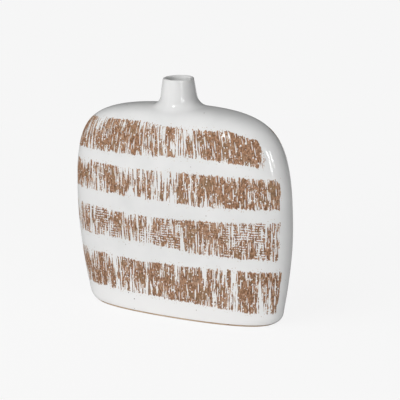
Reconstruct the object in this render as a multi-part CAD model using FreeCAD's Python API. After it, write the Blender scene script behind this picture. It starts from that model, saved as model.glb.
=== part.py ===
import FreeCAD
import Part
import math
import os

# Pillow vase: a wide, shallow stoneware vase with a short neck and brushed brown bands.
# Millimetres. +Z is up, +X runs along the wide face and the front faces -Y.
# The origin is the centre of the foot, on the table.

# Body
body_width = 310.0
body_depth = 79.0
shoulder_height = 266.5
widest_height = 130.0
foot_width = 280.0
foot_depth = 78.0
foot_end_radius = 12.0
foot_front_round = 1.5
end_radius = 22.5
wall = 5.0

# Side line from the foot to the crest: handles as shares of the stretch, width or depth
side_swell_share = 0.57
side_rise_share = 0.88
crest_width_share = 0.84
crest_depth_share = 1.2

# The side is lofted through ovals at the edges of the bands and at these more heights, as
# shares of the shoulder height. The crest takes over at a share of the rise line.
foot_turn_steps = 2
shoulder_loft_shares = (0.837, 0.886, 0.945, 0.963)
crest_start_share = 0.74
inner_low_shares = (0.0, 0.5, 1.0)
inner_high_shares = (0.15, 0.3, 0.42, 0.53, 0.63, 0.74, 0.83)

# Neck
neck_height = 33.5
lip_radius = 19.5
neck_root_radius = 24.6
neck_blend_radius = 10.0
bore_radius = 15.0
spigot_radius = 21.0
spigot_length = 10.0
lip_steps = 6

# Base
base_thickness = 6.0
bare_foot_height = 2.0
foot_ring_width = 13.0
recess_depth = 2.0
recess_low_shares = (0.0, 1.0)
recess_high_shares = (0.1,)

# Brushed bands of brown slip, from the top down: upper and lower edge as shares of the
# shoulder height. A band spans the flat of its face, from one end round to the other.
slip_depth = 0.8
band_shares = (
    (0.925, 0.775),
    (0.711, 0.569),
    (0.497, 0.342),
    (0.267, 0.09),
)
overrun = 20.0

Vector = FreeCAD.Vector
up = Vector(0, 0, 1)
middle = Vector(0, 0, 0)
full_turn = 360.0
hair = 1e-6

total_height = shoulder_height + neck_height
lip_round = (lip_radius - bore_radius) / 2
collar_foot = shoulder_height + neck_blend_radius


def save(shape, name):
    """Write one sub-part under its own name."""
    os.makedirs("parts", exist_ok=True)
    shape.exportStep("parts/" + name + ".step")


# Side line: an oval is (height, half width, half depth)


def rise_line(inset):
    """Four control ovals from the widest level over the crest."""
    top = shoulder_height - inset
    half_width = body_width / 2 - inset
    half_depth = body_depth / 2 - inset
    return [
        (widest_height, half_width, half_depth),
        (widest_height + side_rise_share * (top - widest_height), half_width, half_depth),
        (top, crest_width_share * half_width, crest_depth_share * half_depth),
        (top, 0.0, 0.0),
    ]


def foot_line(inset):
    """Four control ovals from the top of the foot turn to the widest level."""
    widest = rise_line(inset)[0]
    third = (widest_height - foot_end_radius) / 3
    foot_half_width = foot_width / 2 - inset
    foot_half_depth = foot_depth / 2 - inset
    swell = foot_half_width + side_swell_share * (widest[1] - foot_half_width)
    return [
        (foot_end_radius, foot_half_width, foot_half_depth),
        (foot_end_radius + third, swell, (foot_half_depth + widest[2]) / 2),
        (widest_height - third, widest[1], widest[2]),
        widest,
    ]


def between(ovals, share):
    """The ovals between neighbours, at a share of the way from each to the next."""
    return [
        tuple(low + share * (high - low) for low, high in zip(before, after))
        for before, after in zip(ovals, ovals[1:])
    ]


def oval_at(line, share):
    """The oval on the curve of four control ovals, at a share of its way."""
    while len(line) > 1:
        line = between(line, share)
    return line[0]


def line_above(line, share):
    """The four control ovals of what the curve still has above a share of its way."""
    kept = [line[-1]]
    while len(line) > 1:
        line = between(line, share)
        kept.insert(0, line[-1])
    return kept


def place_at(line, height):
    """The share of the way along a curve of ovals at which it reaches a height."""
    low, high = 0.0, 1.0
    while high - low > hair:
        share = (low + high) / 2
        if oval_at(line, share)[0] < height:
            low = share
        else:
            high = share
    return low


def oval_by_height(height, inset):
    """The oval at a height above the foot turn, drawn in level by an inset."""
    line = foot_line(0.0) if height < widest_height else rise_line(0.0)
    half_width, half_depth = oval_at(line, place_at(line, height))[1:]
    return height, half_width - inset, half_depth - inset


def loft_heights():
    """The heights of the ovals that the side is lofted through, above the foot turn."""
    shares = [edge for band in band_shares for edge in band] + list(shoulder_loft_shares)
    return [share * shoulder_height for share in sorted(shares)]


def foot_turn():
    """Ovals up the turn of the foot: a quarter round at the ends, nearly sharp in front.

    One oval is where the glaze stops."""
    start, above = foot_line(0.0)[:2]
    side_lean = (above[1] - start[1]) / (above[0] - start[0])
    front_lean = (above[2] - start[2]) / (above[0] - start[0])
    glaze_angle = math.asin((foot_end_radius - bare_foot_height) / foot_end_radius)
    angles = [math.pi / 2]
    angles += [glaze_angle * (1 - step / foot_turn_steps) for step in range(foot_turn_steps)]
    turn = []
    for angle in angles:
        drop = foot_end_radius * math.sin(angle)
        tuck = 1 - math.cos(angle)
        turn.append((
            foot_end_radius - drop,
            start[1] - side_lean * drop - foot_end_radius * tuck,
            start[2] - front_lean * drop - foot_front_round * tuck,
        ))
    return turn + [start]


def straight_down(inset, floor):
    """The oval at the floor of a space whose walls run straight on below the foot line."""
    start, above = foot_line(inset)[:2]
    share = (floor - start[0]) / (above[0] - start[0])
    return between([start, above], share)[0]


# Plan: each quarter is a long flat arc and a short end arc


def plan_arcs():
    """Control points of the two arcs as (share of half width, share of half depth, weight)."""
    half_width = body_width / 2
    half_depth = body_depth / 2
    reach = half_width - end_radius
    flat_radius = (reach ** 2 + half_depth ** 2 - end_radius ** 2) / (2 * (half_depth - end_radius))
    turn = math.asin(reach / (flat_radius - end_radius))
    rest = math.pi / 2 - turn
    joint = (
        flat_radius * math.sin(turn) / half_width,
        1 - flat_radius * (1 - math.cos(turn)) / half_depth,
        1.0,
    )
    flat_handle = (flat_radius * math.tan(turn / 2) / half_width, 1.0, math.cos(turn / 2))
    end_handle = (1.0, end_radius * math.tan(rest / 2) / half_depth, math.cos(rest / 2))
    return [[(0.0, 1.0, 1.0), flat_handle, joint], [joint, end_handle, (1.0, 0.0, 1.0)]]


def patch(arc, right, back, ovals):
    """The face that one arc of the plan sweeps between the first and last of some ovals."""
    surface = Part.BezierSurface()
    surface.increase(len(arc) - 1, len(ovals) - 1)
    for column, (along, across, weight) in enumerate(arc, start=1):
        for row, (height, half_width, half_depth) in enumerate(ovals, start=1):
            pole = Vector(right * half_width * along, back * half_depth * across, height)
            surface.setPole(column, row, pole)
            surface.setWeight(column, row, weight)
    return surface.toShape()


def ring(ovals):
    """The faces all round between the first and the last of some control ovals."""
    corners = ((1, 1), (1, -1), (-1, 1), (-1, -1))
    return [patch(arc, right, back, ovals) for arc in plan_arcs() for right, back in corners]


def lid(faces, height):
    """The flat face that closes a stack of rings at a height."""
    edges = [
        edge
        for face in faces
        for edge in face.Edges
        if abs(edge.BoundBox.Center.z - height) < hair and edge.BoundBox.ZLength < hair
    ]
    return Part.Face(Part.Wire(Part.__sortEdges__(edges)))


def closed(faces):
    """A solid from faces that meet edge to edge, turned right side out."""
    solid = Part.Solid(Part.Shell(faces))
    if solid.Volume < 0:
        solid.reverse()
    return solid


def lofted(ovals):
    """The faces of straight rings through a list of ovals."""
    return [face for pair in zip(ovals, ovals[1:]) for face in ring(pair)]


def outer_body():
    """The whole outside of the body: lofted sides under one smooth crest."""
    crest = line_above(rise_line(0.0), crest_start_share)
    ovals = foot_turn() + [oval_by_height(height, 0.0) for height in loft_heights()]
    faces = lofted(ovals + crest[:1]) + ring(crest)
    faces.append(lid(faces, ovals[0][0]))
    return closed(faces)


def inner_body(inset, floor, low_shares, high_shares):
    """The body's form drawn in by an inset, from a floor to a flat ceiling."""
    ovals = [straight_down(inset, floor)]
    ovals += [oval_at(foot_line(inset), share) for share in low_shares]
    ovals += [oval_at(rise_line(inset), share) for share in high_shares]
    faces = lofted(ovals)
    faces += [lid(faces, ovals[0][0]), lid(faces, ovals[-1][0])]
    return closed(faces)


def layer(floor, height):
    """A flat block wider than the body, for taking a slice of it."""
    width = body_width + 2 * overrun
    depth = body_depth + 2 * overrun
    return Part.makeBox(width, depth, height, Vector(-width / 2, -depth / 2, floor))


def half_space(side):
    """A block that holds everything on one side of the seam between the two shells."""
    width = body_width + 2 * overrun
    depth = body_depth
    corner = Vector(-width / 2, min(side * depth, 0), -overrun)
    return Part.makeBox(width, depth, total_height + 2 * overrun, corner)


# Neck


def neck_radius(height):
    """The outside radius of the neck's straight taper at a height."""
    share = (height - shoulder_height) / (total_height - shoulder_height)
    return neck_root_radius + share * (lip_radius - neck_root_radius)


def turned(profile):
    """A solid turned about the axis from (radius, height) points.

    It starts on a diagonal, so that none of its seams meets a seam of the body."""
    points = [Vector(radius, 0, height) for radius, height in profile + profile[:1]]
    outline = Part.makePolygon(points)
    outline.rotate(middle, up, full_turn / 8)
    return Part.Face(outline).revolve(middle, up, full_turn)


def flared_body():
    """The outside of the body with the root of the neck flaring out of its shoulder.

    The flare ends below the collar's foot."""
    foot = shoulder_height - overrun
    root = turned([
        (0.0, foot),
        (neck_radius(foot), foot),
        (neck_radius(total_height), total_height),
        (0.0, total_height),
    ])
    joined = outer_body().fuse(root)
    seam = []
    for edge in joined.Edges:
        radii = [math.hypot(vertex.X, vertex.Y) for vertex in edge.Vertexes]
        near_neck = bore_radius < min(radii) and max(radii) < neck_radius(foot)
        if near_neck and foot < edge.BoundBox.ZMin and edge.BoundBox.ZMax < collar_foot:
            seam.append(edge)
    return joined.makeFillet(neck_blend_radius, seam)


def neck_collar():
    """The thrown neck: a spigot that sits down in the shoulder, a taper and a rounded lip."""
    lip = []
    for step in range(lip_steps + 1):
        angle = math.pi * step / lip_steps
        radius = bore_radius + lip_round * (1 + math.cos(angle))
        lip.append((radius, total_height - lip_round * (1 - math.sin(angle))))
    return turned([
        (bore_radius, collar_foot - spigot_length),
        (spigot_radius, collar_foot - spigot_length),
        (spigot_radius, collar_foot),
        (neck_radius(collar_foot), collar_foot),
    ] + lip)


# Bands


def slip_block(upper, lower, side):
    """A block from the bed of a band's slip out past the face.

    It is bounded by ovals of the loft above and below, and by lines of the plan at the ends."""
    levels = [
        height for height in loft_heights()
        if lower * shoulder_height - hair < height < upper * shoulder_height + hair
    ]
    bed = [oval_by_height(height, slip_depth) for height in levels]
    front = [oval_by_height(height, -overrun) for height in levels]
    flat_arc = plan_arcs()[0]
    along, across = flat_arc[-1][:2]
    faces = []
    for right in (1, -1):
        for skin in (bed, front):
            faces += [patch(flat_arc, right, side, pair) for pair in zip(skin, skin[1:])]
        edges = [
            [Vector(right * wide * along, side * deep * across, height) for height, wide, deep in skin]
            for skin in (bed, front)
        ]
        for low_in, high_in, low_out, high_out in zip(edges[0], edges[0][1:], edges[1], edges[1][1:]):
            corners = [low_in, high_in, high_out, low_out, low_in]
            faces.append(Part.Face(Part.makePolygon(corners)))
    faces += [lid(faces, levels[0]), lid(faces, levels[-1])]
    return closed(faces)


# The pieces

whole = flared_body()
cavity = inner_body(wall, bare_foot_height, inner_low_shares, inner_high_shares)
foot_slice = layer(0.0, bare_foot_height)

collar = neck_collar()
save(collar, "neck_collar")

throat = turned([
    (0.0, shoulder_height - overrun),
    (spigot_radius, shoulder_height - overrun),
    (spigot_radius, collar_foot),
    (2 * neck_root_radius, collar_foot),
    (2 * neck_root_radius, total_height + overrun),
    (0.0, total_height + overrun),
])
walls = whole.cut(cavity).cut(throat).cut(foot_slice)

for name, side in (("front", -1), ("back", 1)):
    shell = walls.common(half_space(side))
    for number, (upper, lower) in enumerate(band_shares, start=1):
        block = slip_block(upper, lower, side)
        save(whole.common(block), name + "_band_" + str(number))
        shell = shell.cut(block)
    save(shell, name + "_shell")

panel = cavity.common(layer(bare_foot_height, base_thickness - bare_foot_height))
recess = inner_body(wall + foot_ring_width, -overrun, recess_low_shares, recess_high_shares)
recess = recess.common(layer(-overrun, overrun + recess_depth))
slab = whole.common(foot_slice).fuse(panel).cut(recess).removeSplitter()
save(slab, "base_slab")
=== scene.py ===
"""A pillow vase: white glazed body, bare clay foot and four brushed bands on each face.

Everything is in metres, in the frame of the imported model: +Z up, the front face towards -Y,
the origin at the centre of the foot on the table.
"""

import logging
import math
from collections.abc import Callable
from dataclasses import dataclass
from enum import Enum

import bpy
import numpy as np
from mathutils import Matrix, Vector

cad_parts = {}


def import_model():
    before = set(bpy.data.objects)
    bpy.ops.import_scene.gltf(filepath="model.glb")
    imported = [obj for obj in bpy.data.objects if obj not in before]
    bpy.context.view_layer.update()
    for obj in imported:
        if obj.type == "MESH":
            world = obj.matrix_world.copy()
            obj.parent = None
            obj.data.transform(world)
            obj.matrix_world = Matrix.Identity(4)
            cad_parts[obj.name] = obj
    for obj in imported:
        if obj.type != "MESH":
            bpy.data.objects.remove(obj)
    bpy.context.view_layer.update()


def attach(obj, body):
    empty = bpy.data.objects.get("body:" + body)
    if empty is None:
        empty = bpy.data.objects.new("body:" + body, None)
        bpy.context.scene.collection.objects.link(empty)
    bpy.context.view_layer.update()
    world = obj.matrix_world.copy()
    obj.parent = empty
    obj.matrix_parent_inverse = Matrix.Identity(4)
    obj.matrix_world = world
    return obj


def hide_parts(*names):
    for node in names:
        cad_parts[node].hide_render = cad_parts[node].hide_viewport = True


LOG = logging.getLogger("pillow_vase")
MM = 0.001
Array = np.ndarray
# Points with their slopes or their normals.
Pair = tuple[Array, Array]
Two = tuple[float, float]
Table = tuple[Two, ...]
Colour = tuple[float, float, float, float]
Piece = bpy.types.Object
Group = bpy.types.ShaderNodeTree
Socket = bpy.types.NodeSocket
Inputs = dict[str | int, object]
# A low and a high value, and what they become.
Span = tuple[float, float, float, float]


class Face(Enum):
    """The two wide faces, by the sign of their Y."""

    FRONT = -1.0
    BACK = 1.0


def cubic(points: Array, place: Array) -> Pair:
    """A cubic curve and its slope, from four control points.

    The curve is the sum of the points weighted by s^3, 3 s^2 t, 3 s t^2 and t^3, where t is the
    place and s is 1 - t. The slope is its derivative by t.

    Args:
        points: four control points, one per row.
        place: where on the curve, from 0 to 1, in any array shape.

    Returns:
        The points and the slopes, each with one more axis than place.
    """
    t = place[..., None]
    s = 1 - t
    p0, p1, p2, p3 = points
    curve = s**3 * p0 + 3 * s**2 * t * p1 + 3 * s * t**2 * p2 + t**3 * p3
    slope = 3 * s**2 * (p1 - p0) + 6 * s * t * (p2 - p1) + 3 * t**2 * (p3 - p2)
    return curve, slope


def unit(vectors: Array) -> Array:
    """The vectors divided by their lengths."""
    return vectors / np.maximum(np.linalg.norm(vectors, axis=-1, keepdims=True), 1e-12)


def noise(across: Array, up: Array, seed: int) -> Array:
    """Smooth random values from 0 to 1 over a plane.

    Random numbers stand at whole coordinates. Between them the value is blended by
    3 f^2 - 2 f^3 of the fraction f, in both directions.

    Args:
        across: first coordinate, where one unit is the size of a grain.
        up: second coordinate, likewise.
        seed: which random numbers are used.

    Returns:
        An array of the coordinates' shape.
    """
    size = 512
    table = np.random.default_rng(seed).random((size, size))
    column, row = np.floor(across).astype(int), np.floor(up).astype(int)
    x, y = across - column, up - row
    x, y = x * x * (3 - 2 * x), y * y * (3 - 2 * y)
    left, right = column % size, (column + 1) % size
    below, above = row % size, (row + 1) % size
    low = table[left, below] * (1 - x) + table[right, below] * x
    high = table[left, above] * (1 - x) + table[right, above] * x
    return low * (1 - y) + high * y


def dots(across: Array, up: Array, radius: float, chance: float, seed: int) -> Array:
    """How deep each place lies inside a scatter of round dots.

    Each unit cell holds one dot's centre at a random place, with a random size, and a dot is
    there with the given chance. The value is the dot's radius less the distance to its centre,
    the largest over the cell and its neighbours.

    Args:
        across: first coordinate, in cells.
        up: second coordinate, in cells.
        radius: middle radius of a dot, in cells.
        chance: share of the cells that have a dot.
        seed: which random numbers are used.

    Returns:
        An array of the coordinates' shape, above zero inside a dot.
    """
    size = 256
    nowhere = -9.0
    centre_x, centre_y, there, width = np.random.default_rng(seed).random((4, size, size))
    column, row = np.floor(across).astype(int), np.floor(up).astype(int)
    deepest = np.full(across.shape, nowhere)
    for step_x in (-1, 0, 1):
        for step_y in (-1, 0, 1):
            i, j = (column + step_x) % size, (row + step_y) % size
            gap_x = across - (column + step_x + centre_x[i, j])
            gap_y = up - (row + step_y + centre_y[i, j])
            wide = radius * (0.6 + 0.8 * width[i, j])
            reach = np.where(there[i, j] < chance, wide, nowhere)
            deepest = np.maximum(deepest, reach - np.hypot(gap_x, gap_y))
    return deepest


def ramp(values: Array, low: float, high: float) -> Array:
    """A smooth step from 0 at low to 1 at high."""
    share = np.clip((values - low) / (high - low), 0, 1)
    return share * share * (3 - 2 * share)


def halve(farther_on: Callable[[Array], Array], columns: int) -> Array:
    """The place on each column's curve, from 0 to 1, found by halving.

    Args:
        farther_on: tells for a place in each column whether the wanted place is farther on.
        columns: count of columns.

    Returns:
        One place per column.
    """
    halvings = 40
    low, high = np.zeros(columns), np.ones(columns)
    for _ in range(halvings):
        place = (low + high) / 2
        farther = farther_on(place)
        low, high = np.where(farther, place, low), np.where(farther, high, place)
    return (low + high) / 2


def linked(name: str, data: bpy.types.ID) -> bpy.types.Object:
    """A new object that holds the data, in the scene."""
    thing = bpy.data.objects.new(name, data)
    bpy.context.scene.collection.objects.link(thing)
    return thing


def build_mesh(name: str, points: Array, faces: list[Array]) -> Piece:
    """A smooth-shaded object from points and arrays of faces.

    Args:
        name: the piece's name.
        points: one point per row, in metres.
        faces: arrays of point numbers, one face per row. Each array has its own count of corners.

    Returns:
        The object, at the origin and linked to the scene.
    """
    mesh = bpy.data.meshes.new(name)
    corners = np.concatenate([group.ravel() for group in faces]).astype(np.int32)
    sizes = np.concatenate([np.full(len(group), group.shape[1]) for group in faces])
    starts = np.concatenate([[0], np.cumsum(sizes)[:-1]]).astype(np.int32)
    mesh.vertices.add(len(points))
    mesh.vertices.foreach_set("co", np.ascontiguousarray(points, dtype=np.float32).ravel())
    mesh.loops.add(len(corners))
    mesh.loops.foreach_set("vertex_index", corners)
    mesh.polygons.add(len(sizes))
    mesh.polygons.foreach_set("loop_start", starts)
    mesh.polygons.foreach_set("use_smooth", np.ones(len(sizes), dtype=bool))
    mesh.update(calc_edges=True)
    mesh.validate()
    return linked(name, mesh)


def grid_faces(rows: int, columns: int, looped: bool) -> Array:
    """Four-cornered faces of a grid whose rows run up and whose columns run to the right.

    Args:
        rows: count of rows of points.
        columns: count of points in a row.
        looped: whether the last column joins the first.

    Returns:
        One face per row, facing the viewer who sees the columns run to the right.
    """
    row = np.arange(rows - 1)[:, None]
    column = np.arange(columns if looped else columns - 1)[None, :]
    after = (column + 1) % columns
    corners = [row * columns + column, row * columns + after]
    corners += [(row + 1) * columns + after, (row + 1) * columns + column]
    return np.stack(corners, axis=-1).reshape(-1, 4)


def fan_faces(rim: Array, hub: int) -> Array:
    """Triangles from each side of a closed rim of points to a hub."""
    return np.stack([rim, np.roll(rim, -1), np.full(len(rim), hub)], axis=-1)


def closed_skin(name: str, rows: list[Array], hubs: Two) -> Piece:
    """A closed piece from rings of points around the upright axis.

    Args:
        name: the piece's name.
        rows: the rings, all with the same count of points, upwards along the outside.
        hubs: heights on the axis of the points that close the first and the last ring.

    Returns:
        The object.
    """
    columns = len(rows[0])
    count = len(rows) * columns
    points = np.concatenate(rows + [np.array([(0, 0, height) for height in hubs])])
    first, last = np.arange(columns), np.arange(count - columns, count)
    fans = [fan_faces(first[::-1], count), fan_faces(last, count + 1)]
    return build_mesh(name, points, [grid_faces(len(rows), columns, True), np.concatenate(fans)])


@dataclass(frozen=True)
class Plan:
    """The outline seen from above, in shares of the half width and half depth.

    A quarter is a cubic curve from the middle of the face (0, 1) to the end (1, 0). It leaves
    the face level for flat_share of the half width and meets the end square for end_share of
    the half depth.
    """

    half_width: float = 155 * MM
    half_depth: float = 39.5 * MM
    flat_share: float = 0.72
    end_share: float = 0.6
    places: int = 4001

    def quarter(self, place: Array) -> Pair:
        """Points and slopes (along, across) of the quarter at places from 0 to 1."""
        points = np.array([(0, 1), (self.flat_share, 1), (1, self.end_share), (1, 0)], float)
        return cubic(points, place)

    def lengths(self) -> Pair:
        """Places on the quarter and the length of the widest oval up to each."""
        place = np.linspace(0, 1, self.places)
        steps = np.diff(self.quarter(place)[0] * (self.half_width, self.half_depth), axis=0)
        return place, np.concatenate([[0], np.cumsum(np.linalg.norm(steps, axis=1))])

    def around(self, columns: int) -> Pair:
        """Points and slopes all round, evenly spaced, from the middle of the front to the right.

        The four quarters are the same curve, mirrored and run backwards in turn.

        Args:
            columns: count of points, a multiple of 4.

        Returns:
            The points and slopes, one (along, across) per row.
        """
        place, length = self.lengths()
        steps = np.arange(columns // 4) / (columns // 4)
        ahead = self.quarter(np.interp(steps * length[-1], length, place))
        back = self.quarter(np.interp((1 - steps) * length[-1], length, place))
        turns = ((ahead, (1, -1), 1), (back, (1, 1), -1), (ahead, (-1, 1), 1), (back, (-1, -1), -1))
        points = [quarter[0] * mirror for quarter, mirror, _ in turns]
        slopes = [quarter[1] * mirror * way for quarter, mirror, way in turns]
        return np.concatenate(points), np.concatenate(slopes)

    def across(self, run: Array, face: Face) -> Pair:
        """Points and slopes on one face, by the run from its middle to the viewer's right.

        Args:
            run: length along the widest oval, in metres, below zero to the left.
            face: which face.

        Returns:
            The points and slopes, one (along, across) per run.
        """
        place, length = self.lengths()
        points, slopes = self.quarter(np.interp(np.abs(run), length, place))
        side = np.where(run < 0, -1.0, 1.0)
        turned = -face.value
        mirror = np.stack([side * turned, np.full(run.shape, face.value)], axis=-1)
        return points * mirror, slopes * mirror * side[..., None]


@dataclass(frozen=True)
class SideLine:
    """How the ovals grow from the foot and close over the shoulder.

    An oval is (height, half width, half depth). The foot turns up in a quarter round, then two
    cubic curves lead to the widest level and over the crest, all drawn in by the inset.
    """

    inset: float = 0.0
    half_width: float = 155 * MM
    half_depth: float = 39.5 * MM
    shoulder: float = 266.5 * MM
    widest: float = 130 * MM
    foot_half_width: float = 140 * MM
    foot_half_depth: float = 39 * MM
    turn: float = 12 * MM
    front_turn: float = 1.5 * MM
    swell_share: float = 0.57
    rise_share: float = 0.88
    crest_width_share: float = 0.84
    crest_depth_share: float = 1.2
    places: int = 3001
    crest_left: int = 20

    def rise_points(self) -> Array:
        """Control ovals from the widest level over the crest."""
        top = self.shoulder - self.inset
        wide = self.half_width - self.inset
        deep = self.half_depth - self.inset
        return np.array([
            (self.widest, wide, deep),
            (self.widest + self.rise_share * (top - self.widest), wide, deep),
            (top, self.crest_width_share * wide, self.crest_depth_share * deep),
            (top, 0, 0),
        ])

    def foot_points(self) -> Array:
        """Control ovals from the top of the foot's turn to the widest level."""
        widest = self.rise_points()[0]
        third = (self.widest - self.turn) / 3
        wide = self.foot_half_width - self.inset
        deep = self.foot_half_depth - self.inset
        swell = wide + self.swell_share * (widest[1] - wide)
        return np.array([
            (self.turn, wide, deep),
            (self.turn + third, swell, (deep + widest[2]) / 2),
            (self.widest - third, widest[1], widest[2]),
            widest,
        ])

    def foot_turn(self, heights: Array) -> Pair:
        """Ovals and slopes on the foot's turn, at heights below its top.

        The ends follow a quarter round of the turn's radius. The front follows the same round
        squeezed to the front turn. Both lean with the side line above.
        """
        points = self.foot_points()
        lean = (points[1] - points[0]) / (points[1, 0] - points[0, 0])
        drop = (self.turn - heights)[..., None]
        share = np.clip(drop / self.turn, 0, 1)
        flattest = 0.02
        rounds = np.array([0, self.turn, self.front_turn])
        ovals = points[0] - lean * drop - rounds * (1 - np.sqrt(1 - share**2))
        steep = share / np.sqrt(np.maximum(1 - share**2, flattest))
        return ovals, lean + rounds / self.turn * steep

    def by_height(self, heights: Array) -> Pair:
        """Ovals and slopes at heights from the foot to just under the crest.

        Above the foot's turn they are looked up in a table of both curves, whose last places
        are left out, because the side line is level there.
        """
        place = np.linspace(0, 1, self.places)
        low, low_slope = cubic(self.foot_points(), place)
        high, high_slope = cubic(self.rise_points(), place[:-self.crest_left])
        ovals, slopes = np.concatenate([low, high]), np.concatenate([low_slope, high_slope])
        table = np.concatenate([ovals, slopes / slopes[:, :1]], axis=1)
        above = np.stack([np.interp(heights, ovals[:, 0], column) for column in table.T], axis=-1)
        turn = np.concatenate(self.foot_turn(heights), axis=-1)
        both = np.where((heights < self.turn)[..., None], turn, above)
        return both[..., :3], both[..., 3:]


def surface(plan: Pair, side: Pair) -> Pair:
    """Points and outward normals where a plan and a side line meet.

    A point is (half width x along, half depth x across, height). The normal is the cross
    product of the slope along the plan and the slope up the side.

    Args:
        plan: points and slopes (along, across).
        side: ovals and slopes (height, half width, half depth).

    Returns:
        The points and the unit normals.
    """
    (along, across), (run_x, run_y) = (np.moveaxis(part, -1, 0) for part in plan)
    (height, wide, deep), (rise, widen, deepen) = (np.moveaxis(part, -1, 0) for part in side)
    height = height + 0 * along
    points = np.stack([wide * along, deep * across, height], axis=-1)
    normals = np.stack([
        deep * run_y * rise,
        -wide * run_x * rise,
        wide * run_x * deepen * across - deep * run_y * widen * along,
    ], axis=-1)
    return points, unit(normals)


def hand_wobble(points: Array) -> Array:
    """The unevenness that hands leave in clay: three slow waves across the object, 0 to 1."""
    waves = np.array([(31, 47, 22), (-19, 60, 41), (12, -35, 63)])
    phases = points @ waves.T + (0.3, 1.9, 4.1)
    return 0.5 + np.sin(phases).sum(axis=-1) / 6


GLAZE_INSET = 0.15 * MM
WOBBLE = 0.25 * MM


def glazed(points: Array, normals: Array) -> Array:
    """Points of the glaze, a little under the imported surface, so that slip stands on it."""
    return points - normals * (GLAZE_INSET + WOBBLE * hand_wobble(points))[..., None]


def ring(angle: Array, radius: float, height: float) -> Array:
    """A ring of points at the given angles around the upright axis."""
    return np.stack([radius * np.cos(angle), radius * np.sin(angle), 0 * angle + height], -1)


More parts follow.
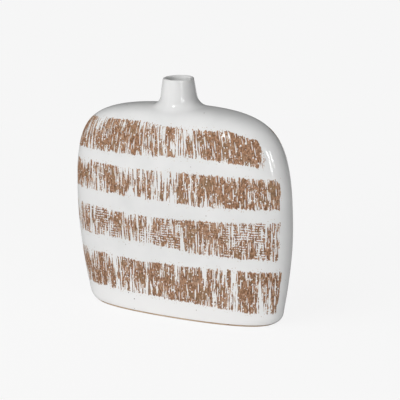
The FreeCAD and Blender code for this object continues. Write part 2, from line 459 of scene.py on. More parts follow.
@dataclass
class GlazedBody:
    """The whole glazed skin: body, shoulder, neck, lip and the inside down to the floor.

    The edge is rows of a height over the bare foot and a tuck under the glaze, in edge rolls.
    The floor's corner is rows of a height and an inset, in millimetres.
    """

    side: SideLine = SideLine()
    plan: Plan = Plan()
    columns: int = 496
    wall: float = 5 * MM
    neck_height: float = 33.5 * MM
    neck_root_radius: float = 24.6 * MM
    lip_radius: float = 19.5 * MM
    bore_radius: float = 15 * MM
    flare: float = 15 * MM
    bare_height: float = 2 * MM
    floor_height: float = 6 * MM
    floor_skin: float = 1 * MM
    floor_middle: float = 0.5
    edge_roll: float = 0.5 * MM
    edge: Table = ((0, 0.5), (0.35, 0.15), (1, 0))
    bore_depth: float = 31 * MM
    bore_corner: float = 3 * MM
    bore_gap: float = 4 * MM
    floor_corner: Table = ((9, 0.6), (7.2, 2.2), (6, 6))
    corner_places: tuple[float, ...] = (0.0, 0.35, 0.7)
    under_shares: tuple[float, ...] = (0.965, 0.885, 1.0)
    turn_rows: int = 7
    side_rows: int = 50
    crest_rows: int = 66
    flare_rows: int = 15
    taper_rows: int = 15
    lip_rows: int = 19
    bore_rows: int = 10
    fade_rows: int = 9
    ceiling_rows: int = 16
    wall_rows: int = 10

    def neck_lean(self) -> float:
        """How much the neck narrows for each metre of height."""
        return (self.neck_root_radius - self.lip_radius) / self.neck_height

    def neck_radius(self, height: Array) -> Array:
        """The radius of the neck's taper at a height."""
        return self.neck_root_radius - self.neck_lean() * (height - self.side.shoulder)

    def outside(self, columns: Pair) -> tuple[list[Array], Array]:
        """Rows up the body, the flare and the neck, and the neck's direction in each column.

        The flare is what a ball of its radius leaves when it rolls along between the shoulder
        and the neck. In each column the ball touches the body where its centre, a radius out
        along the normal, is also a radius from the neck. Halving finds that place. The rows
        between follow the ball from the body's normal to the neck's.

        Args:
            columns: the plan's points and slopes.

        Returns:
            The rows of points, and the angle of each column around the neck.
        """
        lean = math.atan(self.neck_lean())
        crest = self.side.rise_points()

        def ball(place: Array) -> Pair:
            """The ball's centre and the body's normal at places on the crest."""
            points, normals = surface(columns, cubic(crest, place))
            return points + self.flare * normals, normals

        def clear(place: Array) -> Array:
            """Whether the ball at places on the crest still clears the neck."""
            centre, _ = ball(place)
            gap = np.hypot(centre[:, 0], centre[:, 1]) - self.neck_radius(centre[:, 2])
            return gap * math.cos(lean) > self.flare

        place = halve(clear, len(columns[0]))
        centre, root_normal = ball(place)
        roll = self.edge_roll
        levels = [(self.bare_height + roll * up, roll * tuck) for up, tuck in self.edge]
        above = self.bare_height + 3 * roll
        levels += [(h, 0) for h in np.linspace(above, self.side.turn, self.turn_rows)]
        up_side = np.linspace(self.side.turn, self.side.widest, self.side_rows)[1:]
        levels += [(h, 0) for h in up_side]
        rows = []
        for height, tuck in levels:
            points, normals = surface(columns, self.side.by_height(np.array([height])))
            rows.append(glazed(points, normals) - normals * tuck)
        for share in np.linspace(0, 1, self.crest_rows)[1:]:
            rows.append(glazed(*surface(columns, cubic(crest, place * share))))
        angle = np.arctan2(centre[:, 1], centre[:, 0])
        neck_normal = ring(angle, math.cos(lean), math.sin(lean))
        turned = np.clip((root_normal * neck_normal).sum(axis=-1), -1, 1)
        swing = np.arccos(turned)[:, None]
        for share in np.linspace(0, 1, self.flare_rows)[1:]:
            blend = np.sin((1 - share) * swing) * root_normal + np.sin(share * swing) * neck_normal
            blend = unit(blend)
            rows.append(glazed(centre - self.flare * blend, blend))
        return rows, angle

    def neck(self, start: Array, angle: Array) -> list[Array]:
        """Rows up the taper, round the lip and down the bore.

        The lip is the circle that touches the taper, the bore and the top. What the glaze
        moves its first ring by fades out over the next rows.

        Args:
            start: the row where the taper begins.
            angle: the angle of each column around the neck.

        Returns:
            The rows of points.
        """
        lean = math.atan(self.neck_lean())
        gap = self.lip_radius - self.bore_radius
        lip = gap * math.cos(lean) / (1 + math.cos(lean) - math.sin(lean))
        centre = self.bore_radius + lip
        top = self.side.shoulder + self.neck_height - lip
        rings = [ring(angle, centre + lip * math.cos(turn), top + lip * math.sin(turn))
                 for turn in np.linspace(lean, math.pi, self.lip_rows)]
        rings += [ring(angle, self.bore_radius, top - drop)
                  for drop in np.linspace(0, self.bore_depth, self.bore_rows)[1:]]
        first = glazed(rings[0], unit(rings[0] * (1, 1, 0)))
        shares = np.linspace(0, 1, self.taper_rows)[1:-1]
        taper = [start + (first - start) * share for share in shares]
        fade = [max(0, 1 - number / self.fade_rows) for number in range(len(rings))]
        return taper + [row + (first - rings[0]) * left for row, left in zip(rings, fade)]

    def inside(self, columns: Pair, angle: Array) -> list[Array]:
        """Rows from under the bore, along the ceiling and down the inner walls to the floor.

        The inner wall is the side line drawn in by the wall. It starts where the ceiling is a
        few millimetres from the bore. A corner leads there, a quadratic curve of the place t
        whose three points have the weights (1 - t)^2, 2 t (1 - t) and t^2.

        Args:
            columns: the plan's points and slopes.
            angle: the angle of each column around the neck.

        Returns:
            The rows of points.
        """
        inner = SideLine(inset=self.wall)
        crest, foot = inner.rise_points(), inner.foot_points()

        def ceiling(place: Array) -> Array:
            """Points of the inner wall at places on its crest."""
            return surface(columns, cubic(crest, place))[0]

        def clear(place: Array) -> Array:
            """Whether places on the crest are still clear of the bore."""
            points = ceiling(place)
            return np.hypot(points[:, 0], points[:, 1]) > self.bore_radius + self.bore_gap

        place = halve(clear, len(angle))
        edge = ceiling(place)
        bore_end = ring(angle, self.bore_radius, crest[3, 0] + self.bore_corner)
        corner = ring(angle, self.bore_radius, 0) + edge * (0, 0, 1)
        rows = [(1 - t)**2 * bore_end + 2 * t * (1 - t) * corner + t**2 * edge
                for t in self.corner_places]
        rows += [ceiling(place * share) for share in np.linspace(1, 0, self.ceiling_rows)]
        rows += [surface(columns, cubic(foot, np.array([share])))[0]
                 for share in np.linspace(1, 0, self.wall_rows)[1:]]
        for height, tuck in self.floor_corner:
            oval = foot[:1] * (0, 1, 1) + (height * MM, -tuck * MM, -tuck * MM)
            rows.append(surface(columns, (oval, oval))[0])
        oval = foot[:1] * (0, self.floor_middle, self.floor_middle) + (self.floor_height, 0, 0)
        rows.append(surface(columns, (oval, oval))[0])
        return rows

    def build(self) -> Piece:
        """The closed skin: all rows in turn, from under the floor up and back down inside."""
        columns = self.plan.around(self.columns)
        rows, angle = self.outside(columns)
        rows += self.neck(rows[-1], angle) + self.inside(columns, angle)
        under = rows[0] * self.under_shares
        below = self.floor_height - self.floor_skin
        rows = [under + (0, 0, below - self.bare_height), under] + rows
        return closed_skin("glazed_body", rows, (below, self.floor_height))


@dataclass
class BareFoot:
    """The unglazed foot: a low wall under the glaze, a flat ring and a shallow recess.

    The profile runs from the recess out under the ring and up the edge, then in over the top.
    Each point is a height and an inset from the foot's outline, in millimetres.
    """

    side: SideLine = SideLine()
    plan: Plan = Plan()
    columns: int = 400
    bare_height: float = 2 * MM
    lowest: float = 0.5 * MM
    profile: Table = (
        (2, 27), (2, 19), (1.5, 18.2), (0.3, 18), (0, 17.6), (0, 9), (0, 1.2), (0.12, 0.7),
        (0.5, 0.45), (1, 0.35), (1.5, 0.35), (2, 0.35), (2, 5), (4.8, 6),
    )

    def build(self) -> Piece:
        """The closed foot, where each row is the foot's oval at a height, drawn in."""
        columns = self.plan.around(self.columns)
        rows = []
        for height, inset in self.profile:
            level = np.clip(height * MM, self.lowest, self.bare_height)
            oval, slope = self.side.by_height(np.array([level]))
            oval = oval * (0, 1, 1) + (height * MM, -inset * MM, -inset * MM)
            rows.append(surface(columns, (oval, slope))[0])
        return closed_skin("bare_foot", rows, (self.profile[0][0] * MM, self.profile[-1][0] * MM))


@dataclass(frozen=True)
class BandEdges:
    """Where one band lies and how it was brushed, at places along the face in millimetres of
    run from its middle.

    The upper and lower edges are heights in millimetres. The load is how full the brush was,
    from -1, dry, to 1, dripping. The weave is how much of the slip was dragged level too.
    """

    upper: Table
    lower: Table
    ends: Two
    load: Table
    weave: Table = ((0, 0),)


BANDS = (
    BandEdges(
        ((-150, 246.5), (-60, 250), (10, 246), (62, 245), (112, 246), (144, 235)),
        ((-150, 205), (-27, 207), (54, 210), (95, 207), (138, 203)),
        (-156, 138),
        ((-130, 0.1), (-100, -0.1), (-62, 0.8), (-38, 0.5), (-25, -0.6), (2, -0.3), (14, 0.8),
         (34, 0.7), (44, -0.6), (62, 0.5), (100, 0.4), (116, 0.8), (138, 0)),
    ),
    BandEdges(
        ((-150, 191), (-36, 188.5), (52, 191), (138, 189)),
        ((-150, 152), (-37, 152), (50, 150), (135, 151)),
        (-155, 154),
        ((-130, 0.2), (-105, -0.4), (-84, 0.4), (-66, -0.5), (-48, 0.5), (-16, 0.5), (6, -0.7),
         (24, 0.2), (40, 0.9), (58, 0.3), (75, 0.9), (100, 0.6), (118, 0), (140, 0.2)),
    ),
    BandEdges(
        ((-150, 133), (-38, 129), (49, 132), (135, 136)),
        ((-150, 94), (-40, 94), (48, 89), (135, 88)),
        (-155, 153.5),
        ((-130, 0.6), (-88, 0.5), (-70, 0.2), (-50, 0.1), (-20, 0.5), (5, 0.2), (30, 0.7),
         (60, 0.4), (85, 0.8), (110, 0.6), (130, 0.8), (140, -0.4)),
        ((-135, 1), (-85, 0.9), (-70, 0.3), (-45, 0.5), (-25, 0.9), (12, 0.8), (25, 0.3),
         (60, 0.5), (75, 0.3), (95, 1), (135, 1), (145, 0.3)),
    ),
    BandEdges(
        ((-150, 73), (-42, 70), (48, 72), (130, 73.5)),
        ((-150, 26), (-46, 26), (49, 23.5), (136, 18)),
        (-155, 153),
        ((-130, 0.1), (-110, 0.5), (-85, -0.4), (-60, 0.6), (-20, 0.9), (20, 0.8), (40, 0.2),
         (70, 0.3), (95, 0.4), (112, 0.9), (132, 0.8), (143, -0.1), (152, 0.3)),
        ((-130, 0.3), (-100, 0.1), (0, 0.2), (100, 0)),
    ),
)


@dataclass(frozen=True)
class Grain:
    """One layer of noise: its share, its width and length in millimetres and its seed step."""

    share: float
    width: float
    length: float
    step: int

    def draw(self, x: Array, up: Array, seed: int) -> Array:
        """The layer's values, from 0 to its share."""
        return self.share * noise(x / self.width, up / self.length, seed + self.step)


@dataclass(frozen=True)
class Marks:
    """One scatter of marks: cells in millimetres, and a dot's radius in cells and its chance.

    The depth inside a dot is multiplied by the slope and added to the level.
    """

    width: float
    length: float
    radius: float
    chance: float
    step: int
    slope: float
    level: float = 0.0

    def draw(self, x: Array, up: Array, seed: int) -> Array:
        """The scatter's values."""
        cells = x / self.width, up / self.length
        return self.level + self.slope * dots(*cells, self.radius, self.chance, seed + self.step)


SWAY = Grain(3.0, 26, 60, 9)
STREAKS = (Grain(0.32, 0.75, 9, 1), Grain(0.42, 1.5, 32, 2), Grain(0.26, 4.2, 70, 3))
PATCHES = Grain(0.32, 13, 17, 4)
GRIT = Grain(1.0, 0.65, 0.9, 5)
STROKE_ENDS = (Grain(3.0, 1.05, 1, 0), Grain(2.4, 2.6, 1, 1), Grain(2.0, 13, 1, 2))
SIDE_ENDS = Grain(4.0, 2, 9, 17)
MISSED = (
    Marks(2.2, 24, 0.2, 0.5, 23, -13),
    Marks(5, 5, 0.14, 0.35, 21, -13),
    Marks(1.6, 3.8, 0.2, 0.16, 24, -9, 0.35),
)
STRAY = Marks(2.4, 2.4, 0.17, 0.3, 22, 3.4)
SLANT = Grain(0.5, 7, 8, 31)
DASHES = Grain(1.0, 1.3, 3.1, 33)
DRAGS = Grain(1.0, 13, 15, 32)
BUMPS = Grain(0.3, 1.2, 1.6, 41)


@dataclass
class BrushedBand:
    """One band of dry brown slip on one face.

    It is a closed sheet that rises through the glaze where the brush left slip and dips under
    it where it left none, so every ragged edge is where the two surfaces cross. Lengths on the
    face are in millimetres, as the edges are, and those of the mesh are given with MM.
    """

    name: str
    face: Face
    edges: BandEdges
    seed: int
    side: SideLine = SideLine()
    plan: Plan = Plan()
    step_across: float = 0.4 * MM
    step_up: float = 0.56 * MM
    margin: float = 4.5
    proud: float = 0.15 * MM
    sunk: float = 0.4 * MM
    upright: float = 0.6
    short: float = 4.0
    dry: float = 0.36
    load_share: float = 0.11
    sharpness: float = 8.0
    gritty: float = 0.15
    thin: float = 0.08
    thin_width: float = 11.0
    loose: float = 1.6
    weave_pitch: float = 3.1
    run_limit: float = 166.0
    under_rows: int = 7
    end_short: float = 2.6
    end_steep: float = 0.5
    edge_steep: float = 1.1
    stray_reach: float = 2.4
    stray_past: float = 0.6
    woven_depth: float = 2.2
    dash_top: Two = (0.3, 0.8)
    dash_gap: Two = (0.4, 0.55)
    drag_gap: Two = (0.3, 0.55)
    edge_seeds: tuple[int, int] = (11, 14)

    def edge_line(self, x: Array, seed: int) -> Array:
        """How far each stroke runs past the band's edge, in millimetres.

        It is noise across the face alone, in three widths: single bristles, strokes and the
        sweep of the hand.
        """
        flat = 0 * x + 0.5
        return sum(layer.draw(x, flat, seed) for layer in STROKE_ENDS) - self.short

    def woven(self, x: Array, across: Array, up: Array) -> Array:
        """The most slip that the level dashes leave, where the brush was dragged level too.

        The dashes are the crests of a cosine up the face, slanted and cut short by noise.
        """
        level = np.cos(2 * np.pi * (up / self.weave_pitch + SLANT.draw(x, up, self.seed)))
        dash = ramp(level, *self.dash_top) * ramp(DASHES.draw(x, up, self.seed), *self.dash_gap)
        dragged = np.interp(across, *zip(*self.edges.weave))
        dragged = dragged * ramp(DRAGS.draw(x, up, self.seed), *self.drag_gap)
        return 1 - self.woven_depth * dragged * dash

    def cover(self, across: Array, up: Array, upper: Array, lower: Array, taper: Array) -> Array:
        """How surely slip lies at each place, above zero where it does.

        Streaks are noise stretched up the face in three widths, with grit and broad patches
        added, thinner towards the edges. Narrow slits and round pinholes are taken out, stray
        drops are put in along the edges, and on woven bands short level dashes are taken out.

        Args:
            across: run from the middle of the face, in millimetres.
            up: height, in millimetres.
            upper: height of the band's upper edge, in millimetres.
            lower: height of its lower edge, in millimetres.
            taper: width of the body at the height, as a share of its widest.

        Returns:
            An array of the same shape.
        """
        seed = self.seed
        drawn = across * (1 - self.upright * (1 - taper))
        x = drawn + SWAY.draw(across, up, seed)
        grit = GRIT.draw(x, up, seed) - 0.5
        depth = np.minimum(upper - up, up - lower)
        value = sum(layer.draw(x, up, seed) for layer in STREAKS) + self.gritty * grit
        value += PATCHES.draw(x, up, seed) - PATCHES.share / 2
        value += self.thin * (ramp(depth, 0, self.thin_width) - 1)
        load = np.interp(across, *zip(*self.edges.load))
        inside = (value - self.dry + self.load_share * load) * self.sharpness
        loose = self.loose * grit
        top = upper - up + self.edge_line(x, seed + self.edge_seeds[0]) + loose
        bottom = up - lower + self.edge_line(x, seed + self.edge_seeds[1]) + loose
        left, right = self.edges.ends
        end = np.minimum(drawn - left, right - drawn) * self.end_steep - self.end_short
        end += SIDE_ENDS.draw(x, up, seed) + 0.5 * loose
        value = np.minimum(np.minimum(inside, end), self.edge_steep * np.minimum(top, bottom))
        for marks in MISSED:
            value = np.minimum(value, marks.draw(x, up, seed))
        stray = np.where(depth < self.stray_reach, STRAY.draw(x, up, seed), -1)
        value = np.maximum(value, np.minimum(stray, end + self.stray_past))
        return np.minimum(value, self.woven(x, across, up))

    def build(self) -> Piece:
        """The closed sheet, with how surely slip lies at each point kept as an attribute."""
        left, right = self.edges.ends
        run = np.arange(left - self.margin, right + self.margin, self.step_across / MM)
        run = np.clip(run, -self.run_limit, self.run_limit)
        upper = np.interp(run, *zip(*self.edges.upper)) + self.margin
        lower = np.interp(run, *zip(*self.edges.lower)) - self.margin
        rows = int((upper - lower).max() * MM / self.step_up) + 1
        share = np.linspace(0, 1, rows)[:, None]
        up = lower + (upper - lower) * share
        across = run + 0 * up
        sides = self.side.by_height(up.ravel() * MM)
        taper = (sides[0][:, 1] / self.side.half_width).reshape(up.shape)
        value = self.cover(across, up, upper - self.margin, lower + self.margin, taper)
        value = np.clip(value, -1, 1)
        points, normals = surface(self.plan.across(across.ravel() * MM, self.face), sides)
        base = glazed(points, normals)
        bumps = 1 - BUMPS.share + BUMPS.draw(across, up, self.seed)
        height = np.where(value > 0, self.proud * bumps * value, self.sunk * value).ravel()
        top = base + normals * height[:, None]
        kept = np.linspace(0, rows - 1, self.under_rows).astype(int)
        under = (base - normals * 2 * self.sunk).reshape(rows, len(run), 3)[kept]
        over = np.arange(len(top)).reshape(up.shape)
        below = len(top) + np.arange(len(kept) * len(run)).reshape(len(kept), len(run))
        strips = [np.stack([first[:-1], first[1:], second[1:], second[:-1]], -1)
                  for first, second in ((below[0], over[0]), (over[-1], below[-1]))]
        sheets = [grid_faces(rows, len(run), False),
                  grid_faces(len(kept), len(run), False)[:, ::-1] + len(top)]
        left_side = np.concatenate([over[:, 0], below[::-1, 0]])
        right_side = np.concatenate([over[::-1, -1], below[:, -1]])
        faces = [np.concatenate(sheets + strips), left_side[None, ::-1], right_side[None, ::-1]]
        points = np.concatenate([top, under.reshape(-1, 3)])
        piece = build_mesh(self.name, points, faces)
        amount = piece.data.attributes.new("slip_amount", "FLOAT", "POINT")
        amounts = np.concatenate([value.ravel(), np.full(under.size // 3, -1.0)])
        amount.data.foreach_set("value", amounts.astype(np.float32))
        return piece


class Nodes:
    """Short calls for placing and joining nodes in one tree."""

    def __init__(self, tree: bpy.types.NodeTree) -> None:
        """Take the tree that the nodes go in."""
        self.tree = tree

    @classmethod
    def within(cls, block: bpy.types.Material | bpy.types.World) -> "Nodes":
        """The emptied tree of a new material or world."""
        block.use_nodes = True
        block.node_tree.nodes.clear()
        return cls(block.node_tree)

    def add(self, kind: str, inputs: Inputs | None = None, **settings: object) -> bpy.types.Node:
        """A new node, with its settings made first and its inputs after them.

        Args:
            kind: Blender's name for the kind of node.
            inputs: a plain value, or a socket to join, for inputs by their names or numbers.
            settings: the node's properties.

        Returns:
            The node.
        """
        node = self.tree.nodes.new(kind)
        for name, value in settings.items():
            setattr(node, name, value)
        for key, value in (inputs or {}).items():
            if isinstance(value, bpy.types.NodeSocket):
                self.tree.links.new(value, node.inputs[key])
            else:
                node.inputs[key].default_value = value
        return node

    def place(self) -> Socket:
        """The place on the piece, in its Object coordinates."""
        return self.add("ShaderNodeTexCoord").outputs["Object"]

    def math(self, operation: str, *values: object) -> Socket:
        """The result of one sum on values or sockets."""
        return self.add("ShaderNodeMath", dict(enumerate(values)), operation=operation).outputs[0]

    def scaled(self, vector: Socket, scale: tuple[float, float, float]) -> Socket:
        """A vector with each axis multiplied by its own number."""
        inputs = {0: vector, 1: scale}
        return self.add("ShaderNodeVectorMath", inputs, operation="MULTIPLY").outputs[0]

    def noise(self, vector: Socket, scale: object, detail: float, rough: float) -> Socket:
        """The value of a noise pattern."""
        inputs = {"Vector": vector, "Scale": scale, "Detail": detail, "Roughness": rough}
        return self.add("ShaderNodeTexNoise", inputs).outputs["Fac"]

    def blend(self, share: object, first: object, second: object) -> Socket:
        """Two colours mixed by a share."""
        inputs = {0: share, 6: first, 7: second}
        return self.add("ShaderNodeMix", inputs, data_type="RGBA").outputs[2]

    def stretch(self, value: Socket, *span: float) -> Socket:
        """A value moved from its low and high to two others, and held at the ends."""
        return self.add("ShaderNodeMapRange", dict(enumerate((value, *span)))).outputs[0]

    def group(self, tree: Group, **inputs: float) -> bpy.types.bpy_prop_collection:
        """The outputs of a shared group, with its inputs set by name."""
        return self.add("ShaderNodeGroup", inputs, node_tree=tree).outputs

    def bump(self, height: Socket, strength: float, distance: float) -> Socket:
        """A normal bent by a height."""
        inputs = {"Strength": strength, "Distance": distance, "Height": height}
        return self.add("ShaderNodeBump", inputs).outputs["Normal"]


def new_group(name: str, inputs: tuple[str, ...], outputs: tuple[str, ...]) -> tuple[Group, Nodes]:
    """A new shared group with named numbers in and out, and its nodes."""
    group = bpy.data.node_groups.new(name, "ShaderNodeTree")
    for way, words in (("INPUT", inputs), ("OUTPUT", outputs)):
        for word in words:
            group.interface.new_socket(word, in_out=way, socket_type="NodeSocketFloat")
    return group, Nodes(group)


def fired_specks() -> Group:
    """A shared group: small dark specks of iron in fired clay or glaze.

    Each cell of a cell pattern may hold a speck. The speck is where the distance to the cell's
    point is under its size, and the cell's own random colour decides whether it is there.

    Returns:
        The group, with the inputs Cells, Size and Chance, and the output Speck, 1 inside one.
    """
    group, nodes = new_group("fired_specks", ("Cells", "Size", "Chance"), ("Speck",))
    given = nodes.add("NodeGroupInput").outputs
    cells = nodes.add("ShaderNodeTexVoronoi", {"Vector": nodes.place(), "Scale": given["Cells"]})
    split = nodes.add("ShaderNodeSeparateColor", {0: cells.outputs["Color"]}).outputs
    there = nodes.math("LESS_THAN", split[0], given["Chance"])
    size = nodes.math("MULTIPLY", given["Size"], split[1])
    inside = nodes.math("LESS_THAN", cells.outputs["Distance"], size)
    nodes.add("NodeGroupOutput", {"Speck": nodes.math("MULTIPLY", there, inside)})
    return group


def kiln_mottle() -> Group:
    """A shared group: slow blotches and fine grain, as values and as a height.

    Returns:
        The group, with inputs Blotch and Grain for the scales, and outputs Blotches, Grains
        and Height, which is four parts blotch to one part grain.
    """
    outputs = ("Blotches", "Grains", "Height")
    group, nodes = new_group("kiln_mottle", ("Blotch", "Grain"), outputs)
    given, place = nodes.add("NodeGroupInput").outputs, nodes.place()
    blotch = nodes.noise(place, given["Blotch"], 3, 0.5)
    grain = nodes.noise(place, given["Grain"], 2, 0.6)
    height = nodes.math("MULTIPLY_ADD", blotch, 4.0, grain)
    nodes.add("NodeGroupOutput", dict(zip(outputs, (blotch, grain, height))))
    return group


NOISE_SPAN = (0.3, 0.7)


@dataclass(frozen=True)
class Finish:
    """What every finish shares: a name, a range of roughness, and a relief.

    The relief is a bump's strength and its height in metres. A span is a range of values and
    what its two ends become.
    """

    name: str
    rough: Two
    relief: Two

    def inputs(self, nodes: Nodes, specks: Group, mottle: Group) -> Inputs:
        """What goes into the shader's own sockets, from the two shared groups."""
        raise NotImplementedError

    def build(self, specks: Group, mottle: Group) -> bpy.types.Material:
        """The material: a shader with the finish's inputs, and the output."""
        material = bpy.data.materials.new(self.name)
        nodes = Nodes.within(material)
        shader = nodes.add("ShaderNodeBsdfPrincipled", self.inputs(nodes, specks, mottle))
        nodes.add("ShaderNodeOutputMaterial", {"Surface": shader.outputs["BSDF"]})
        return material


@dataclass(frozen=True)
class WhiteGlaze(Finish):
    """Smooth white glaze: near even, faintly blotched, whiter towards the foot by painted light,
    with rare iron specks and a clear gloss."""

    name: str = "white_glaze"
    rough: Two = (0.045, 0.075)
    relief: Two = (0.12, 0.0004)
    colour: Colour = (0.80, 0.80, 0.795, 1)
    shade: Colour = (0.74, 0.745, 0.74, 1)
    # painted light: the whiter colour that the glaze fades to near the foot
    painted_foot_light: Colour = (0.88, 0.88, 0.875, 1)
    speck: Colour = (0.2, 0.17, 0.15, 1)
    to_shade: Span = (0.4, 0.75, 0, 1)
    to_painted_foot_light: Span = (0.01, 0.1, 1, 0)

    def inputs(self, nodes: Nodes, specks: Group, mottle: Group) -> Inputs:
        """What goes into the shader: blotches by noise, and painted light near the foot by height.
        """
        clouds = nodes.group(mottle, Blotch=26, Grain=420)
        blotches = clouds["Blotches"]
        white = nodes.blend(nodes.stretch(blotches, *self.to_shade), self.colour, self.shade)
        level = nodes.add("ShaderNodeSeparateXYZ", {0: nodes.place()}).outputs["Z"]
        # painted light: the glaze turns whiter towards the foot, by height
        white = nodes.blend(nodes.stretch(level, *self.to_painted_foot_light), white, self.painted_foot_light)
        marks = nodes.group(specks, Cells=110, Size=0.085, Chance=0.5)
        return {
            "Base Color": nodes.blend(marks["Speck"], white, self.speck),
            "Roughness": nodes.stretch(blotches, *NOISE_SPAN, *self.rough),
            "IOR": 1.5,
            "Normal": nodes.bump(clouds["Height"], *self.relief),
        }


@dataclass(frozen=True)
class BrownSlip(Finish):
    """Dry brushed brown slip: matte and gritty, streaked up the face, thin and pale at its rims."""

    name: str = "brown_slip"
    rough: Two = (0.62, 0.9)
    relief: Two = (0.5, 0.0004)
    dark: Colour = (0.15, 0.072, 0.037, 1)
    warm: Colour = (0.42, 0.228, 0.13, 1)
    olive: Colour = (0.27, 0.172, 0.095, 1)
    thin: Colour = (0.66, 0.50, 0.375, 1)
    iron: Colour = (0.10, 0.065, 0.045, 1)
    streaks: tuple[float, float, float] = (620, 620, 200)
    to_warm: Span = (0.41, 0.57, 0, 1)
    to_olive: Span = (0.52, 0.66, 0, 0.6)
    thin_clouds: Span = (0.32, 0.44, 0.2, 0)
    thin_streaks: Span = (0.52, 0.74, 0, 0.4)
    thin_rims: Span = (0.05, 0.55, 0.85, 0)

    def inputs(self, nodes: Nodes, specks: Group, mottle: Group) -> Inputs:
        """What goes into the shader, from the groups and the slip's amount on the mesh.

        Fine streaks and grains run from dark to warm, broad clouds turn some of it olive, and
        the slip is thin and pale at its rims and in a few clouds and streaks.
        """
        amount = nodes.add("ShaderNodeAttribute", attribute_name="slip_amount").outputs["Fac"]
        streak = nodes.noise(nodes.scaled(nodes.place(), self.streaks), 1.0, 2, 0.6)
        clouds = nodes.group(mottle, Blotch=70, Grain=560)
        blotches, grains = clouds["Blotches"], clouds["Grains"]
        fine = nodes.math("MULTIPLY_ADD", streak, 0.55, nodes.math("MULTIPLY", grains, 0.45))
        brown = nodes.blend(nodes.stretch(fine, *self.to_warm), self.dark, self.warm)
        brown = nodes.blend(nodes.stretch(blotches, *self.to_olive), brown, self.olive)
        veil = nodes.math("ADD", nodes.stretch(blotches, *self.thin_clouds),
                          nodes.stretch(streak, *self.thin_streaks))
        veil = nodes.math("MAXIMUM", veil, nodes.stretch(amount, *self.thin_rims))
        brown = nodes.blend(veil, brown, self.thin)
        marks = nodes.group(specks, Cells=420, Size=0.5, Chance=0.16)
        faint = nodes.math("MULTIPLY", marks["Speck"], 0.7)
        return {
            "Base Color": nodes.blend(faint, brown, self.iron),
            "Roughness": nodes.stretch(grains, *NOISE_SPAN, *self.rough),
            "IOR": 1.45,
            "Normal": nodes.bump(nodes.math("ADD", streak, grains), *self.relief),
        }


@dataclass(frozen=True)
class BareClay(Finish):
    """Unglazed tan stoneware: dry, sandy and specked."""

    name: str = "bare_clay"
    rough: Two = (0.8, 0.95)
    relief: Two = (0.6, 0.0003)
    pale: Colour = (0.56, 0.42, 0.29, 1)
    deep: Colour = (0.42, 0.29, 0.18, 1)
    speck: Colour = (0.16, 0.10, 0.06, 1)
    to_deep: Span = (0.35, 0.65, 0, 1)

    def inputs(self, nodes: Nodes, specks: Group, mottle: Group) -> Inputs:
        """What goes into the shader: pale to deep by the blotches, and specks on top."""
        clouds = nodes.group(mottle, Blotch=45, Grain=900)
        clay = nodes.stretch(clouds["Blotches"], *self.to_deep)
        clay = nodes.blend(clay, self.pale, self.deep)
        marks = nodes.group(specks, Cells=220, Size=0.3, Chance=0.2)
        return {
            "Base Color": nodes.blend(marks["Speck"], clay, self.speck),
            "Roughness": nodes.stretch(clouds["Grains"], *NOISE_SPAN, *self.rough),
            "Normal": nodes.bump(clouds["Grains"], *self.relief),
        }


def towards(turn: float, rise: float) -> Vector:
    """The way to a place, by its turn from the front and its rise above level, in degrees."""
    turn, rise = math.radians(turn), math.radians(rise)
    level = math.cos(rise)
    return Vector((math.sin(turn) * level, -math.cos(turn) * level, math.sin(rise)))


MIDDLE = Vector((0, 0, 0.15))


@dataclass(frozen=True)
class Lamp:
    """One soft lamp: a rectangle that faces a point on the object."""

    name: str
    turn: float
    rise: float
    distance: float
    width: float
    height: float
    power: float
    mirrored: bool = True

    def build(self) -> None:
        """Place the lamp by its turn from the front and its rise above level, in degrees."""
        data = bpy.data.lights.new(self.name, "AREA")
        data.shape = "RECTANGLE"
        data.size = self.width
        data.size_y = self.height
        data.energy = self.power
        lamp = linked(self.name, data)
        way = towards(self.turn, self.rise)
        lamp.location = MIDDLE + way * self.distance
        lamp.rotation_euler = way.to_track_quat("Z", "Y").to_euler()
        lamp.visible_glossy = self.mirrored


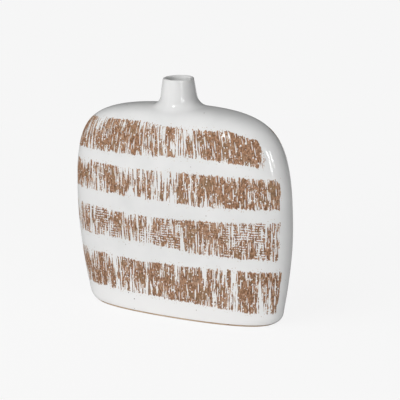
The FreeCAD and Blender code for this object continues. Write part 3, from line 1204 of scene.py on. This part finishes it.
@dataclass
class Studio:
    """The pale floor, the world, the lamps and the camera at the photograph's angle."""

    backdrop: Colour = (0.922, 0.922, 0.922, 1)
    walls: Colour = (0.09, 0.09, 0.09, 1)
    ceiling: Colour = (0.18, 0.18, 0.18, 1)
    wall_to_ceiling: Span = (0.1, 0.8, 0, 1)
    lamps: tuple[Lamp, ...] = (
        Lamp("key_lamp", -14, 23, 2.4, 1.8, 1.2, 23.6, False),
        Lamp("top_lamp", -35, 60, 2.3, 0.9, 0.9, 12, False),
        Lamp("back_fill", -168, 10, 2.6, 1.8, 1.2, 15, False),
        Lamp("front_softbox", -7, 17, 2.2, 0.42, 0.28, 4.6),
        Lamp("right_strip", 49, 15.8, 2.0, 0.15, 0.34, 2.6),
        Lamp("right_strip_low", 46.5, 4.5, 2.0, 0.15, 0.26, 2.0),
        Lamp("end_strip", 59.5, 16.8, 2.0, 0.11, 0.41, 2.4),
        Lamp("end_strip_low", 59, 6.3, 2.0, 0.11, 0.13, 0.75),
    )
    floor_level: float = -0.05 * MM
    floor_rings: tuple[float, ...] = (0.3, 1, 3, 12)
    floor_white: Colour = (0.85, 0.85, 0.85, 1)
    floor_fade: Span = (0.2, 1.2, 1, 0)
    floor_share: float = 0.10
    floor_glow: float = 1.055
    yaw: float = 31.556
    pitch: float = 14.332
    roll: float = -1.44
    distance: float = 2.093708
    focal_pixels: float = 1669.226
    aim_across: float = 0.022781
    aim_height: float = 0.143451
    frame_pixels: float = 400.0

    def camera(self) -> None:
        """The camera, from the fitted angles, distance and focal length in pixels."""
        data = bpy.data.cameras.new("camera")
        data.sensor_fit = "HORIZONTAL"
        data.sensor_width = 36.0
        data.lens = self.focal_pixels / self.frame_pixels * data.sensor_width
        data.clip_end = 60
        camera = linked("camera", data)
        yaw, roll = math.radians(self.yaw), math.radians(self.roll)
        place = MIDDLE + towards(self.yaw, self.pitch) * self.distance
        across = self.aim_across
        aim = Vector((across * math.cos(yaw), across * math.sin(yaw), self.aim_height))
        ahead = (aim - place).normalized()
        right = ahead.cross(Vector((0, 0, 1))).normalized()
        up = right.cross(ahead)
        turned_right = right * math.cos(roll) + up * math.sin(roll)
        turned_up = up * math.cos(roll) - right * math.sin(roll)
        matrix = Matrix((turned_right, turned_up, -ahead)).transposed().to_4x4()
        matrix.translation = place
        camera.matrix_world = matrix
        bpy.context.scene.camera = camera

    def world(self) -> None:
        """A backdrop that only the camera sees, and a dimmer room that lights the object."""
        world = bpy.data.worlds.new("room")
        bpy.context.scene.world = world
        nodes = Nodes.within(world)
        seen = nodes.add("ShaderNodeLightPath").outputs["Is Camera Ray"]
        way = nodes.add("ShaderNodeTexCoord").outputs["Generated"]
        up = nodes.add("ShaderNodeSeparateXYZ", {0: way}).outputs["Z"]
        up = nodes.stretch(up, *self.wall_to_ceiling)
        colour = nodes.blend(seen, nodes.blend(up, self.walls, self.ceiling), self.backdrop)
        background = nodes.add("ShaderNodeBackground", {"Color": colour})
        nodes.add("ShaderNodeOutputWorld", {"Surface": background.outputs[0]})

    def floor(self) -> None:
        """A round pale floor that takes a faint shadow near the object and fades into the
        backdrop farther out."""
        sides = 96
        angle = np.linspace(0, 2 * math.pi, sides + 1)[:-1]
        rings = [ring(angle, radius, self.floor_level) for radius in self.floor_rings]
        points = np.concatenate(rings + [np.array([(0, 0, self.floor_level)])])
        faces = [grid_faces(len(rings), sides, True)[:, ::-1],
                 fan_faces(np.arange(sides), len(rings) * sides)]
        floor = build_mesh("floor", points, faces)
        material = bpy.data.materials.new("floor")
        nodes = Nodes.within(material)
        length = nodes.add("ShaderNodeVectorMath", {0: nodes.place()}, operation="LENGTH")
        near = nodes.stretch(length.outputs["Value"], *self.floor_fade)
        diffuse = nodes.add("ShaderNodeBsdfDiffuse", {"Color": self.floor_white})
        strength = nodes.math("MULTIPLY_ADD", near, self.floor_glow - 1, 1.0)
        glow = nodes.add("ShaderNodeEmission", {"Color": self.backdrop, "Strength": strength})
        seen = nodes.add("ShaderNodeLightPath").outputs["Is Camera Ray"]
        share = nodes.math("MULTIPLY_ADD", near, -self.floor_share, 1.0)
        share = nodes.math("MULTIPLY", seen, share)
        inputs = {0: share, 1: diffuse.outputs[0], 2: glow.outputs[0]}
        mix = nodes.add("ShaderNodeMixShader", inputs)
        nodes.add("ShaderNodeOutputMaterial", {"Surface": mix.outputs[0]})
        floor.data.materials.append(material)

    def build(self) -> None:
        """Set up the camera, the world, the floor and the lamps."""
        bpy.context.scene.view_settings.view_transform = "Standard"
        self.camera()
        self.world()
        self.floor()
        for lamp in self.lamps:
            lamp.build()


def dress(piece: Piece, material: bpy.types.Material, slot: str, *nodes: str) -> None:
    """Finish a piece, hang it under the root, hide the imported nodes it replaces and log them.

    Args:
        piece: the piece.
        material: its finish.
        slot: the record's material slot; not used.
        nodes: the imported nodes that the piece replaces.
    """
    piece.data.materials.append(material)
    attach(piece, "root")
    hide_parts(*nodes)
    LOG.info("%s: %d faces, stands for %s", piece.name, len(piece.data.polygons), ", ".join(nodes))


def main() -> None:
    """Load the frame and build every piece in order."""
    logging.basicConfig(level=logging.INFO)
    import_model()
    specks, mottle = fired_specks(), kiln_mottle()
    glaze = WhiteGlaze().build(specks, mottle)
    slip = BrownSlip().build(specks, mottle)
    clay = BareClay().build(specks, mottle)
    Studio().build()
    dress(GlazedBody().build(), glaze, "white_glaze", "front_shell", "back_shell", "neck_collar")
    dress(BareFoot().build(), clay, "bare_clay", "base_slab")
    for face, word, seed in ((Face.FRONT, "front", 100), (Face.BACK, "back", 900)):
        for number, edges in enumerate(BANDS, start=1):
            node = f"{word}_band_{number}"
            band = BrushedBand(f"{word}_brushwork_{number}", face, edges, seed + 50 * number)
            dress(band.build(), slip, "brown_slip", node)


if __name__ == "__main__":
    main()
